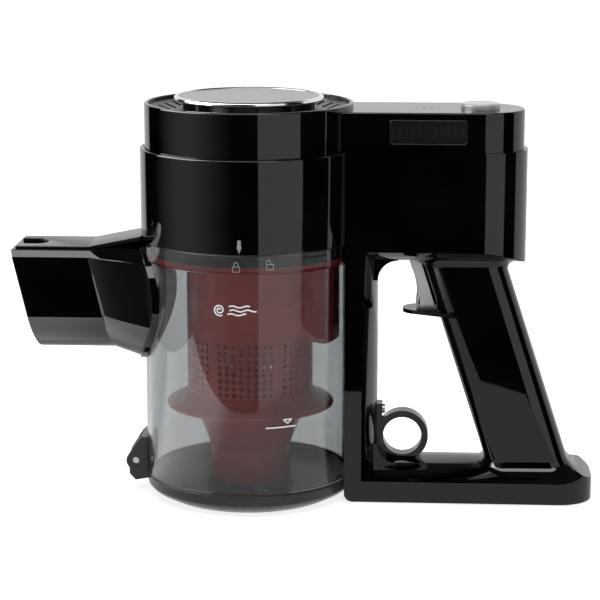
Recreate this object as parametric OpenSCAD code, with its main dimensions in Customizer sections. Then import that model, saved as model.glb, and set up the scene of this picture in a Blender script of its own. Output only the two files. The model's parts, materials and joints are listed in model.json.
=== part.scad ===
// Cordless cyclone handheld vacuum.
// The cyclone axis is Z, the handle lies towards +X, the inlet towards -X, and the part stands on z = 0.

/* [Bin] */
// Outer radius of the clear bin
bin_r = 63; // [54:0.5:76]
// Wall of the clear bin
bin_wall = 2.4; // [1.6:0.1:3.2]
// Height of the clear bin above its door
bin_h = 142.3; // [120:0.5:172]
// Height of the locking collar at the top of the bin
collar_h = 11; // [9:0.5:14]
// Angle the bin turns to unlock
bin_turn = 18.4; // [10:0.2:20]

/* [Bin door] */
// Height of the door below the seam
door_h = 14; // [11:0.5:17]
// Radius of the flat underside of the door
door_foot_r = 52; // [43:0.5:54]
// Height of the door's upright rim
door_rim_h = 6; // [4:0.5:7]
// Wall of the door
door_wall = 2.4; // [1.6:0.1:3]

/* [Cyclone] */
// Outer radius of the shroud
shroud_r = 38; // [31.5:0.5:42]
// Wall of the shroud
shroud_wall = 2; // [1.4:0.1:3]
// Radius of the skirt under the shroud
skirt_r = 50.5; // [46:0.5:53]
// Height of the skirt's lower edge above the floor
skirt_z = 55; // [48:0.5:60]
// Radius of the dust tube
tube_r = 24; // [18:0.5:28]
// Radius of the air holes in the shroud
hole_r = 1.3; // [0.8:0.1:1.5]
// Rows of air holes
hole_rows = 8; // [4:1:10]

/* [Barrel] */
// How far the barrel stands out past the bin
barrel_step = 2; // [1:0.1:4]
// Height of the wide part of the barrel
barrel_h = 55; // [50:0.5:66]
// How far the crown steps in from the barrel
crown_step = 2.8; // [1.5:0.1:4]
// Height of the crown
crown_h = 26.5; // [22:0.5:32]
// Wall of the barrel
barrel_wall = 2.5; // [2:0.1:3.2]

/* [Filter cap] */
// Radius of the round cap
cap_r = 44.5; // [36:0.5:46]
// Width of the bright rim
cap_rim_w = 2.8; // [2:0.1:4]
// Air gap under the cap
cap_gap = 5; // [3:0.5:7]

/* [Nozzle] */
// Length of the inlet nozzle past the bin wall
nozzle_len = 78; // [70:0.1:96]
// Half width of the nozzle
nozzle_half = 24; // [22:0.5:26]
// Radius of the bell where the nozzle meets the bin
bell_r = 36.5; // [34:0.5:38]
// Radius of the bore that takes a wand or a tool
inlet_r = 17.5; // [15:0.25:18]
// Length of that bore
inlet_len = 52; // [40:1:56]
// Lean of the mouth
mouth_lean = 13; // [0:0.2:20]

/* [Frame] */
// Half depth of the box, the post and the foot
frame_half = 29; // [26:0.5:35]
// Wall of the frame shells
frame_wall = 2.6; // [2:0.1:3]
// Length of the box from the barrel
box_len = 100; // [94:0.5:120]
// Length of the foot from the bin
foot_len = 142; // [134:0.5:166]
// Height of the foot's upright edge
foot_h = 13.5; // [12:0.5:17]
// Thickness of the post at its front edge
post_w = 10.2; // [9:0.2:13]
// How far the rounded inner faces swell at mid depth
swell = 9; // [7.5:0.1:11]

/* [Grip] */
// Distance of the grip's centre from the bin, at the box
grip_top_x = 63.4; // [60:0.2:68]
// Distance of the grip's centre from the bin, at the foot
grip_foot_x = 103; // [96:0.2:108]
// Thickness of the grip, front to back of the hand
grip_w = 47; // [40:0.5:49]
// Half depth of the grip
grip_half = 19; // [17:0.5:21]
// Corner radius of the grip
grip_corner = 12; // [9:0.5:14]

/* [Trigger] */
// Half width of the trigger
trigger_half = 9; // [7:0.5:10]
// Height of the trigger's lower end under the box
trigger_drop = 36.8; // [33:0.1:42]
// Angle the trigger turns when pressed
trigger_turn = 6; // [3:0.5:7]
// Radius of the trigger pin
pin_r = 1.6; // [1.2:0.1:2]

/* [Box cover] */
// Height of the cover
cover_h = 23.5; // [20:0.5:28]
// How far the cover steps in from the box
cover_step = 1.5; // [1:0.1:2]
// Wall of the cover
cover_wall = 2.4; // [1.8:0.1:2.8]
// Radius of the power button
button_r = 11.5; // [8:0.5:13]
// How far the button stands out
button_rise = 3.3; // [2:0.1:5]
// Travel of the power button
button_travel = 1.5; // [0.8:0.1:2]

/* [Hanging ring] */
// Radius of the hole
ring_hole_r = 11.6; // [8:0.1:13]
// Width of the band
ring_band = 4; // [3:0.1:5]
// Depth of the ring
ring_depth = 10; // [7:0.5:14]

/* [Battery and motor] */
// Radius of one battery cell
cell_r = 9.1; // [8:0.1:9.3]
// Length of one battery cell
cell_len = 65; // [58:0.5:66]
// Radius of the motor case
motor_r = 40; // [36:0.5:44]
// Radius of the motor shaft
shaft_r = 2; // [1.5:0.1:3]

/* [Fits] */
// Gap between the bin and the frame around it
bin_gap = 0.1; // [0.1:0.05:0.6]
// Gap of pieces that slide past each other
slide_gap = 0.3; // [0.2:0.05:0.5]
// Radial gap of a pin or shaft that runs in a hole
run_gap = 0.05; // [0.03:0.01:0.09]
// Radial gap of a pin or a bearing that is seated
seat_gap = 0.02; // [0.01:0.01:0.03]

/* [Hidden] */
$fn = 96;
e = 1; // overshoot of a cut

// heights
bin_z = door_h;
bin_top = bin_z + bin_h;
collar_z = bin_top - collar_h;
barrel_z = bin_top + 0.2;
shoulder_z = barrel_z + barrel_h;
crown_top = shoulder_z + crown_h;
cap_top = crown_top + 4;
cover_top = shoulder_z + cover_h;

// bin and barrel
bin_in = bin_r - bin_wall;
collar_r = bin_r + 1;
collar_in = collar_r - bin_wall + 0.2;
barrel_r = bin_r + barrel_step;
crown_r = barrel_r - crown_step;
barrel_in = barrel_r - barrel_wall;
crown_in = crown_r - barrel_wall;
lug_angles = [-48, 72, 192];
lug_half = 7;    // half angle of a locking lug
lug_h = 2.2;
lock_ring_in = bin_r - 6.4;
lock_ring_r = bin_r - 3.8;

// frame
bay_r = barrel_r + bin_gap;                       // the frame wraps the barrel and the bin at this radius
crease_x = sqrt(bay_r * bay_r - frame_half * frame_half);
post_front_x = crease_x + post_w;
post_mid_x = post_front_x + swell;
function arc_radius(chord_half, rise) = (chord_half * chord_half + rise * rise) / (2 * rise);
swell_r = arc_radius(frame_half, swell);
box_x = bay_r + box_len;
box_z = barrel_z - 3.5;                           // front edge of the underside of the box
box_low = box_z - swell;
foot_x = bay_r + foot_len;
foot_top = foot_h + swell;
sole_z = 0.8;
foot_corner = 21;
heel_r = 5;
box_corner = frame_half - 1;                      // the box ends almost half round
foot_end_run = 27;                                // length over which the foot falls to its end
foot_end_r = arc_radius(foot_end_run, swell - 0.3);
grip_x1 = bay_r + grip_top_x;
grip_x0 = bay_r + grip_foot_x;
grip_lean = atan((grip_x0 - grip_x1) / (box_low - foot_top));
function grip_x(z) = grip_x0 - (z - foot_top) * tan(grip_lean);
function grip_front(z) = grip_x(z) - grip_w / 2 / cos(grip_lean);
pad_r = 5;
pad_at = [[bay_r + 20, 18], [bay_r + 20, -18], [foot_x - 22, 14], [foot_x - 22, -14]];
latch_pocket_r = bay_r + 2.3;
latch_pocket_top = 42;

// screws: place in X and Z, and the half depth of the piece they hold
screw_r = 1.4;
screw_boss_r = 4.6;
screw_head_r = 2.8;
screw_at = [
    [bay_r + 11, box_z + 11, frame_half],
    [bay_r + 11, shoulder_z - 10, frame_half],
    [box_x - 8.5, box_z + 11, frame_half - 11],
    [box_x - 8.5, shoulder_z - 10, frame_half - 11],
    [grip_x(box_low - 26) + 5, box_low - 26, grip_half],
    [grip_x(foot_top + 22), foot_top + 22, grip_half],
    [bay_r + 48, sole_z + 9.5, frame_half],
    [foot_x - 38, sole_z + 9.5, frame_half]
];

// trigger
pivot_z = box_z + 5;
trigger_low = box_z - trigger_drop;
pivot_x = grip_front(trigger_low) - 6.3;
trigger_face = grip_front(trigger_low) - 12.2;    // deepest line of the hollow finger face
trigger_back = pivot_x + 7.2;                     // lower end of the trigger's back
guard_h = 2.4;
guard_x = grip_front(trigger_low) - 20.8;
switch_x = pivot_x + 8.4;                         // where the switch's plunger stands
switch_z = trigger_low + 12;

// cover
cover_half = frame_half - cover_step;
cover_x = box_x - 2.1;
vent_x0 = bay_r + 19.6;
vent_w = 43.3;
vent_z0 = shoulder_z + 5.6;
vent_h = 13;
vent_t = 2;
slot_pitch = 3.95;
slot_w = 2.2;
slot_h = 10;
slot_group = 5;
slot_break = 9;
button_x = bay_r + 71.7;
light_x0 = bay_r + 33.7;
light_pitch = 4.43;
battery_x = bay_r + 18.4;
battery_z = pivot_z + 5.5;                        // underside of the battery holder, above the trigger's hub
jack_z = box_z + 1;
board_z = shoulder_z + 2.5;
board_t = 1.6;

// nozzle
duct_z = bin_top - 40.3;                           // height of the inlet's axis
nozzle_top = bin_top - 5.2;
bell_z = bin_top - bell_r + 0.5;
strip_h = 1.5;
catch_len = 14;
catch_half = 7;
nozzle_wall = 2.4;
nozzle_x = -bin_r - nozzle_len;                    // foremost point of the mouth
catch_x = nozzle_x + 4;                            // slot that a wand's catch springs into
bell_x = -bin_r - 26;                              // where the nozzle starts to widen
u_z = duct_z - 3.3;                                // centre of the nozzle's round underside
sleeve_r = inlet_r + 2;
rim_r = bin_r + 3.5;
sleeve_x1 = -rim_r - 1;
sleeve_x0 = sleeve_x1 - inlet_len;

// hinge and latch of the door
hinge_x = -bin_r - 6.2;
hinge_z = door_h + 5.6;
hinge_pin_r = 2;
lug_in = 8;
lug_out = 13;
knuckle_r = 5;
latch_x = bin_r + 1.9;
latch_z = door_h + 10;
latch_half = 3.4;
latch_ear = 1.2;
latch_pin_r = 0.9;

// cyclone
band_z = 67.4;
row_pitch = 4.2;
hole_cols = 8;
hole_groups = 6;
hole_step = 6.63;
flange_z = collar_z + 0.5;
flange_t = 3;
floor_z = 7;

// motor stack
deck_t = 2.5;
base_t = 2.5;
mount_t = 4;
case_z = barrel_z + base_t + mount_t;
deck_z = shoulder_z - barrel_wall - deck_t;
case_top = deck_z - 2;
bearing_r = 4;
bearing_t = 4;
diffuser_z = case_z + 17;

// ---- helpers ----

// An outline in X and Z, given depth along Y about the mid plane
module deep(depth) {
    rotate([90, 0, 0]) linear_extrude(depth, center = true) children();
}

// A cylinder along Y through (x, z)
module rod_y(x, z, r, y0, y1) {
    translate([x, y1, z]) rotate([90, 0, 0]) cylinder(r = r, h = y1 - y0);
}

// A cylinder along X through (y = 0, z)
module rod_x(z, r, x0, x1) {
    translate([x0, 0, z]) rotate([0, 90, 0]) cylinder(r = r, h = x1 - x0);
}

// A tube about Z
module tube(r_in, r_out, z0, z1) {
    translate([0, 0, z0]) difference() {
        cylinder(r = r_out, h = z1 - z0);
        translate([0, 0, -e]) cylinder(r = r_in, h = z1 - z0 + 2 * e);
    }
}

// A bar along X whose far end has rounded corners in plan
module plan_bar(x0, x1, half, corner, z0, z1) {
    translate([x0, -half, z0]) cube([x1 - corner - x0, 2 * half, z1 - z0]);
    translate([x0, -(half - corner), z0]) cube([x1 - x0, 2 * (half - corner), z1 - z0]);
    for (s = [-1, 1]) translate([x1 - corner, s * (half - corner), z0]) cylinder(r = corner, h = z1 - z0);
}

// A pillar about Z with a rounded rectangular section
module rounded_pillar(w, half, corner, z0, z1) {
    translate([-w / 2, -(half - corner), z0]) cube([w, 2 * (half - corner), z1 - z0]);
    translate([-(w / 2 - corner), -half, z0]) cube([w - 2 * corner, 2 * half, z1 - z0]);
    for (sx = [-1, 1], sy = [-1, 1])
        translate([sx * (w / 2 - corner), sy * (half - corner), z0]) cylinder(r = corner, h = z1 - z0);
}

// A wedge of a cylinder about Z, from angle a0 to a1
module wedge(a0, a1, r_in, r_out, z0, z1) {
    translate([0, 0, z0]) rotate([0, 0, a0])
        rotate_extrude(angle = a1 - a0) translate([r_in, 0]) square([r_out - r_in, z1 - z0]);
}

// A coil of wire about Z, as one tube swept along a helix
module coil(r, wire, height, turns) {
    sides = 8;
    steps = 16 * turns;
    function ring_point(i, k) = let (a = 360 * turns * i / steps, b = 360 * k / sides,
        rr = r + wire * cos(b)) [rr * cos(a), rr * sin(a), wire + (height - 2 * wire) * i / steps + wire * sin(b)];
    points = [for (i = [0:steps], k = [0:sides - 1]) ring_point(i, k)];
    skin = [for (i = [0:steps - 1], k = [0:sides - 1])
        [i * sides + k, i * sides + (k + 1) % sides, (i + 1) * sides + (k + 1) % sides, (i + 1) * sides + k]];
    ends = [[for (k = [sides - 1:-1:0]) k], [for (k = [0:sides - 1]) steps * sides + k]];
    polyhedron(points, concat(skin, ends), convexity = 6);
}

// ---- frame: the same bars give the outer form (inset 0) and the hollow (inset = wall) ----

module post_bar(g) {
    intersection() {
        translate([post_mid_x - swell_r, 0, sole_z + g])
            cylinder(r = swell_r - g, h = box_z + 6 - sole_z - g);
        translate([0, -(frame_half - g), 0]) cube([post_mid_x + e, 2 * (frame_half - g), box_z + 20]);
    }
}

module foot_bar(g) {
    intersection() {
        plan_bar(0, foot_x - g, frame_half - g, foot_corner - g, sole_z + g, foot_top + e);
        rod_x(foot_top - swell_r, swell_r - g, 0, foot_x + e);
        union() {
            translate([0, -frame_half, 0]) cube([foot_x - foot_end_run, 2 * frame_half, foot_top + e]);
            rod_y(foot_x - foot_end_run, foot_top - foot_end_r, foot_end_r - g, -frame_half, frame_half);
        }
    }
}

module box_bar(g) {
    intersection() {
        plan_bar(0, box_x - g, frame_half - g, box_corner - g, box_low - e, shoulder_z + (g > 0 ? e : 0));
        rod_x(box_low + swell_r, swell_r - g, 0, box_x + e);
    }
}

module grip_bar(g) {
    intersection() {
        translate([grip_x0, 0, foot_top]) rotate([0, -grip_lean, 0])
            rounded_pillar(grip_w - 2 * g, grip_half - g, grip_corner - g, -40, box_low - foot_top + 50);
        translate([0, -frame_half, sole_z + 4]) cube([foot_x, 2 * frame_half, box_low + 12]);
    }
}

module frame_form(g) {
    difference() {
        union() {
            post_bar(g);
            foot_bar(g);
            box_bar(g);
            grip_bar(g);
            if (g == 0) corner_webs();
        }
        translate([0, 0, -e]) cylinder(r = bay_r + g, h = shoulder_z + 3 * e);
        if (g == 0) heel_cut();
    }
}

// Rounds the foot's lower corner next to the bin
module heel_cut() {
    translate([crease_x, 0, sole_z]) deep(2 * frame_half + 2) difference() {
        translate([-6, -6]) square(6 + heel_r);
        translate([heel_r, heel_r]) circle(r = heel_r);
        translate([heel_r, -7]) square(20);
        translate([-7, heel_r]) square(20);
    }
}

// A rounded fill where two inner faces meet at mid depth
module corner_web(x, z, sx, sz) {
    web = 12;
    translate([x, 0, z]) deep(frame_half) difference() {
        translate([sx > 0 ? -2 : -web, sz > 0 ? -2 : -web]) square(web + 2);
        translate([sx * web, sz * web]) circle(r = web);
    }
}

module corner_webs() {
    corner_web(post_mid_x, foot_top - 1.5, 1, 1);
    corner_web(post_mid_x, box_low + 1.5, 1, -1);
}

module screw_holes(front) {
    for (s = screw_at) {
        if (front) rod_y(s[0], s[1], screw_r + 0.1, -s[2] + 8, e);
        else {
            rod_y(s[0], s[1], screw_r + 0.3, -e, s[2] + e);
            rod_y(s[0], s[1], screw_head_r + 0.3, s[2] - 5, s[2] + e);
        }
    }
}

// The pocket the trigger swings in
module trigger_pocket() {
    wide = trigger_half + 2 * slide_gap;
    swept_x = trigger_back + (pivot_z - trigger_low) * sin(trigger_turn) + 2 * slide_gap;
    translate([trigger_face - 8, -wide, trigger_low - 0.4])
        cube([swept_x - trigger_face + 8, 2 * wide, pivot_z + 8 - trigger_low]);
}

// Ribs in the box that carry the battery holder
module battery_shelves() {
    intersection() {
        for (x = [bay_r + 58, bay_r + 84], s = [-1, 1])
            translate([x, s > 0 ? 6 : -frame_half + 0.5, box_low - e])
                cube([2, frame_half - 6.5, battery_z - 0.02 - box_low + e]);
        frame_form(0.5);
    }
}

// Pegs that hold the trigger switch
module switch_pegs() {
    for (z = [2.5, 10.5]) rod_y(switch_x + 5.4, switch_z + z, 1.1, -grip_half + 1, grip_half - 1);
}

module frame_shell(side) {
    difference() {
        union() {
            difference() {
                union() {
                    difference() {
                        frame_form(0);
                        difference() {
                            frame_form(frame_wall);
                            cylinder(r = latch_pocket_r + frame_wall, h = latch_pocket_top + frame_wall);
                        }
                    }
                    intersection() {
                        for (s = screw_at) rod_y(s[0], s[1], screw_boss_r, -s[2] + e, s[2] - e);
                        frame_form(0.5);
                    }
                    battery_shelves();
                }
                trigger_pocket();
            }
            for (s = [-1, 1])
                rod_y(pivot_x, pivot_z, 4, s > 0 ? 15.5 : -frame_half + e, s > 0 ? frame_half - e : -11);
            switch_pegs();
        }
        screw_holes(side < 0);
        rod_y(pivot_x, pivot_z, pin_r + seat_gap, -20.2, 20.2);
        wedge(-bin_turn - 5.4, 6, bay_r - 3, latch_pocket_r, -e, latch_pocket_top);
        for (p = pad_at) translate([p[0], p[1], sole_z - e]) cylinder(r = pad_r + seat_gap, h = 2.2);
        rod_x(jack_z, 5 + seat_gap, box_x - 16, box_x + e);
        translate([0, side < 0 ? -0.04 : -frame_half - e, -e])
            cube([foot_x + e, frame_half + 0.04 + e, shoulder_z + 3 * e]);
    }
}

module frame_front_shell() {
    color([0.05, 0.05, 0.055]) frame_shell(-1);
}

module frame_rear_shell() {
    color([0.06, 0.06, 0.065]) frame_shell(1);
}

module housing_screws() {
    color([0.6, 0.6, 0.62]) for (s = screw_at) difference() {
        union() {
            rod_y(s[0], s[1], screw_r, -s[2] + 9, s[2] - 4);
            rod_y(s[0], s[1], screw_head_r, s[2] - 4.98, s[2] - 2.8);
        }
        translate([s[0] - 0.4, s[2] - 3.9, s[1] - 2]) cube([0.8, 2, 4]);
        translate([s[0] - 2, s[2] - 3.9, s[1] - 0.4]) cube([4, 2, 0.8]);
    }
}

module foot_pads() {
    color([0.12, 0.12, 0.12]) for (p = pad_at) translate([p[0], p[1], 0]) cylinder(r = pad_r, h = 1.98);
}

// ---- barrel ----

module barrel_housing() {
    color([0.04, 0.04, 0.045]) rotate_extrude() polygon([
        [motor_r - 6, barrel_z], [barrel_r - 0.6, barrel_z], [barrel_r, barrel_z + 0.6],
        [barrel_r, shoulder_z - 0.6], [barrel_r - 0.6, shoulder_z], [crown_r, shoulder_z],
        [crown_r, crown_top - 0.8], [crown_r - 0.8, crown_top], [crown_in, crown_top],
        [crown_in, shoulder_z - barrel_wall], [barrel_in, shoulder_z - barrel_wall],
        [barrel_in, barrel_z + base_t], [motor_r - 6, barrel_z + base_t]]);
}

module bayonet_ring() {
    ring_low = flange_z + flange_t + slide_gap;
    color([0.1, 0.1, 0.11]) union() {
        tube(lock_ring_in, lock_ring_r, ring_low, barrel_z);
        for (a = lug_angles)
            wedge(a - lug_half, a + lug_half, lock_ring_r - 1, collar_in - 0.5, ring_low + 1, ring_low + 1 + lug_h);
    }
}

module exhaust_grille() {
    ribs = 36;
    grille_in = cap_r + 1.5;
    grille_out = crown_in - 0.2;
    low = crown_top - 7;
    color([0.3, 0.3, 0.31]) difference() {
        rotate_extrude() polygon([[grille_in, low], [grille_out, crown_top - 2.5], [grille_out, crown_top - 5],
            [grille_in, low - 2.5]]);
        for (i = [0:ribs - 1]) rotate([0, 0, i * 360 / ribs])
            translate([grille_in + 2.5, -1.6, low - 4]) cube([grille_out - grille_in - 6, 3.2, 10]);
    }
}

module motor_deck() {
    vents = 10;
    color([0.14, 0.14, 0.15]) difference() {
        tube(bearing_r + 4, barrel_in - 0.2, deck_z, deck_z + deck_t - 0.02);
        for (i = [0:vents - 1]) rotate([0, 0, i * 360 / vents])
            translate([(motor_r + barrel_in) / 2 - 2, 0, deck_z - e]) cylinder(r = 6, h = deck_t + 2 * e);
    }
}

module motor_case() {
    vents = 8;
    color([0.55, 0.56, 0.58]) difference() {
        translate([0, 0, case_z]) cylinder(r = motor_r, h = case_top - case_z);
        translate([0, 0, case_z + 2]) cylinder(r = motor_r - 2, h = diffuser_z - case_z - 2);
        translate([0, 0, diffuser_z + 3]) cylinder(r = motor_r - 2, h = case_top - 3 - diffuser_z - 3);
        translate([0, 0, case_z - e]) cylinder(r = 17, h = 4);
        translate([0, 0, case_z]) cylinder(r = bearing_r + seat_gap, h = case_top);
        for (i = [0:vents - 1]) rotate([0, 0, i * 360 / vents])
            translate([motor_r - 9, 0, diffuser_z - e]) cylinder(r = 4, h = case_top - diffuser_z + 2 * e);
    }
}

module motor_mounts() {
    color([0.09, 0.09, 0.09]) {
        tube(motor_r - 6, motor_r - 1, barrel_z + base_t, case_z);
        tube(motor_r - 4, motor_r - 0.5, case_top, deck_z);
    }
}

module motor_bearings() {
    color([0.75, 0.75, 0.77]) {
        tube(shaft_r + run_gap, bearing_r, diffuser_z - 0.5, diffuser_z - 0.5 + bearing_t);
        tube(shaft_r + run_gap, bearing_r, case_top - bearing_t, case_top);
    }
}

module stator() {
    teeth = 9;
    z0 = diffuser_z + 5;
    color([0.5, 0.33, 0.2]) difference() {
        tube(15.5, motor_r - 13.5, z0, z0 + 13);
        for (i = [0:teeth - 1]) rotate([0, 0, i * 360 / teeth])
            translate([20, 0, z0 - e]) cylinder(r = 2.6, h = 13 + 2 * e);
    }
}

module motor_shaft() {
    color([0.8, 0.8, 0.82]) translate([0, 0, case_z + 3]) cylinder(r = shaft_r, h = case_top - case_z - 3.2);
}

module impeller() {
    blades = 9;
    z0 = case_z + 4;
    color([0.7, 0.7, 0.72]) difference() {
        union() {
            translate([0, 0, z0 + 8]) cylinder(r = motor_r - 5, h = 1.8);
            translate([0, 0, z0]) cylinder(r = 7, h = 9);
            intersection() {
                tube(5, motor_r - 5.5, z0 + 1, z0 + 9);
                for (i = [0:blades - 1]) rotate([0, 0, i * 360 / blades])
                    translate([0, 16, z0 + 1]) tube(17.5, 18.7, 0, 8);
            }
        }
        translate([0, 0, z0 - e]) cylinder(r = shaft_r + seat_gap, h = 14);
    }
}

module rotor_core() {
    color([0.35, 0.35, 0.37]) tube(shaft_r + seat_gap, 14.8, diffuser_z + 5, diffuser_z + 18);
}

// ---- filter cap ----

module cap_frame() {
    posts = 12;
    top_z = cap_top - 1.8;
    low_z = cap_top - 3 - cap_gap;
    color([0.2, 0.2, 0.21]) union() {
        translate([0, 0, low_z - 2]) cylinder(r = cap_r - 1, h = 2);
        translate([0, 0, low_z]) cylinder(r = cap_r - 12, h = top_z - low_z);
        translate([0, 0, top_z - 1.2]) cylinder(r = cap_r - cap_rim_w - 0.1, h = 1.2);
        for (i = [0:posts - 1]) rotate([0, 0, (i + 0.5) * 360 / posts])
            translate([cap_r - 13, -1.2, low_z - 0.5]) cube([8, 2.4, top_z - low_z]);
    }
}

module cap_disc() {
    color([0.72, 0.72, 0.73]) translate([0, 0, cap_top - 1.8]) cylinder(r = cap_r - cap_rim_w - 0.02, h = 1.3);
}

module cap_rim() {
    inner = cap_r - cap_rim_w;
    color([0.88, 0.88, 0.9]) rotate_extrude() polygon([
        [inner, cap_top - 3], [cap_r - 0.8, cap_top - 3], [cap_r, cap_top - 2.2], [cap_r - 0.2, cap_top - 0.9],
        [cap_r - 1.2, cap_top], [inner + 0.6, cap_top], [inner, cap_top - 0.4]]);
}

module exhaust_filter() {
    pleats = 40;
    top_z = cap_top - 5 - cap_gap;
    low_z = deck_z + deck_t + 2;
    color([0.9, 0.9, 0.86]) difference() {
        tube(24, cap_r - 2, low_z, top_z);
        for (i = [0:pleats - 1]) rotate([0, 0, i * 360 / pleats])
            translate([cap_r - 5, -0.9, low_z - e]) cube([5, 1.8, top_z - low_z - 2]);
    }
}

// ---- box cover and what it holds ----

module slots_for(depth) {
    span = (slot_group - 1) * slot_pitch;
    start = (vent_w - 2 * span - slot_break) / 2;
    for (g = [0, 1], i = [0:slot_group - 1])
        translate([vent_x0 + start + g * (span + slot_break) + i * slot_pitch, 0, vent_z0 + vent_h / 2])
            cube([slot_w, depth, slot_h], center = true);
}

module box_cover() {
    color([0.06, 0.06, 0.065]) difference() {
        plan_bar(0, cover_x, cover_half, box_corner - cover_step, shoulder_z, cover_top);
        difference() {
            plan_bar(0, cover_x - cover_wall, cover_half - cover_wall, box_corner - cover_step - cover_wall,
                shoulder_z - e, cover_top - cover_wall);
            cylinder(r = crown_r + bin_gap + cover_wall, h = cover_top);
        }
        translate([0, 0, shoulder_z - e]) cylinder(r = crown_r + bin_gap, h = cover_h + 2 * e);
        for (s = [-1, 1]) translate([vent_x0 - 0.1, s > 0 ? cover_half - vent_t - 0.1 : -cover_half - e, vent_z0 - 0.1])
            cube([vent_w + 0.2, vent_t + 0.1 + e, vent_h + 0.2]);
        slots_for(4 * frame_half);
        translate([button_x, 0, cover_top - cover_wall - e]) cylinder(r = button_r + slide_gap, h = cover_wall + 2 * e);
        for (i = [0:3]) translate([light_x0 + i * light_pitch, 0, cover_top - cover_wall - e])
            cylinder(r = 0.9, h = cover_wall + 2 * e);
    }
}

module vent_grille(s) {
    color([0.08, 0.08, 0.085]) difference() {
        translate([vent_x0, s > 0 ? cover_half - vent_t : -cover_half, vent_z0]) cube([vent_w, vent_t, vent_h]);
        slots_for(4 * frame_half);
    }
}

module vent_grille_front() {
    vent_grille(-1);
}

module vent_grille_rear() {
    vent_grille(1);
}

module status_lights() {
    color([0.7, 0.8, 0.9]) for (i = [0:3]) translate([light_x0 + i * light_pitch, 0, board_z + board_t])
        cylinder(r = 0.85, h = cover_top - board_z - board_t + 0.1);
}

module circuit_board() {
    hole_at = [[bay_r + 30, 17], [bay_r + 30, -17], [bay_r + 82, 9], [bay_r + 82, -9]];
    color([0.1, 0.35, 0.18]) difference() {
        union() {
            translate([bay_r + 26, -21, board_z]) cube([52, 42, board_t]);
            translate([bay_r + 26, -12, board_z]) cube([62, 24, board_t]);
            translate([bay_r + 50, 6, board_z + board_t - 0.5]) cube([10, 10, 4.5]);
            translate([bay_r + 52, -18, board_z + board_t - 0.5]) cube([7, 7, 8]);
            translate([button_x - 3, -3, board_z + board_t - 0.5]) cube([6, 6, 1.2]);
        }
        for (p = hole_at) translate([p[0], p[1], board_z - e]) cylinder(r = 1.5, h = board_t + 2 * e);
    }
}

module power_button() {
    wall_low = cover_top - cover_wall;
    color([0.8, 0.8, 0.82]) union() {
        translate([button_x, 0, wall_low - 0.3]) rotate_extrude() polygon([
            [0, 0], [button_r, 0], [button_r, cover_wall + button_rise - 0.9],
            [button_r - 0.9, cover_wall + button_rise + 0.3], [0, cover_wall + button_rise + 0.3]]);
        translate([button_x, 0, wall_low - 2.2]) cylinder(r = button_r + 1.5, h = 2);
        translate([button_x, 0, board_z + board_t + 0.9 + button_travel])
            cylinder(r = 2.4, h = wall_low - 2 - board_z - board_t - 0.9 - button_travel);
    }
}

module button_spring() {
    z0 = board_z + board_t + 0.05;
    color([0.75, 0.75, 0.77]) translate([button_x, 0, z0])
        coil(5.4, 0.5, cover_top - cover_wall - 2.25 - z0, 5);
}

module battery_cells() {
    color([0.2, 0.45, 0.62]) for (sy = [-1, 1], row = [0, 1])
        translate([battery_x, sy * (cell_r + 0.4), battery_z + 2.5 + cell_r + row * (2 * cell_r + 0.8)])
            rotate([0, 90, 0]) cylinder(r = cell_r, h = cell_len);
}

module battery_holder() {
    half = 2 * cell_r + 1.2;
    color([0.16, 0.16, 0.17]) union() {
        translate([battery_x - 2, -half, battery_z]) cube([cell_len + 4, 2 * half, 2]);
        for (x = [battery_x - 2, battery_x + cell_len + 0.05])
            translate([x, -half, battery_z]) cube([1.95, 2 * half, 4 * cell_r + 4]);
    }
}

module charge_jack() {
    color([0.12, 0.12, 0.13]) difference() {
        rod_x(jack_z, 5, box_x - 14.9, box_x - 0.6);
        rod_x(jack_z, 2.75, box_x - 12.6, box_x + e);
    }
}

// ---- trigger and its parts ----

module trigger() {
    color([0.72, 0.72, 0.73]) difference() {
        union() {
            deep(2 * trigger_half) polygon([
                [trigger_face - 0.3, trigger_low], [trigger_face - 0.6, trigger_low + 4],
                [trigger_face - 0.1, trigger_low + 8], [trigger_face, trigger_low + 11],
                [trigger_face - 0.3, trigger_low + 15], [trigger_face - 1.3, trigger_low + 20],
                [trigger_face - 3, trigger_low + 25], [trigger_face - 5.2, box_low + 1],
                [trigger_face - 3, pivot_z + 2], [pivot_x + 2, pivot_z + 3], [pivot_x + 3.5, box_low],
                [pivot_x + 5.5, trigger_low + 14], [trigger_back, trigger_low]]);
            rod_y(pivot_x, pivot_z, 4.2, -trigger_half, trigger_half);
        }
        rod_y(pivot_x, pivot_z, pin_r + run_gap, -trigger_half - e, trigger_half + e);
    }
}

module trigger_pin() {
    color([0.75, 0.75, 0.77]) rod_y(pivot_x, pivot_z, pin_r, -20, 20);
}

module trigger_spring() {
    color([0.7, 0.7, 0.72]) translate([pivot_x, trigger_half + 1, pivot_z]) rotate([-90, 0, 0])
        coil(pin_r + 1.4, 0.5, 5, 3);
}

module trigger_switch() {
    color([0.1, 0.1, 0.1]) difference() {
        union() {
            translate([switch_x + 1.6, -3.2, switch_z]) cube([7, 6.4, 13]);
            translate([switch_x, -1.5, switch_z + 6]) cube([2, 3, 2.4]);
        }
        for (z = [2.5, 10.5]) rod_y(switch_x + 5.4, switch_z + z, 1.1 + seat_gap, -4, 4);
    }
}

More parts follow.
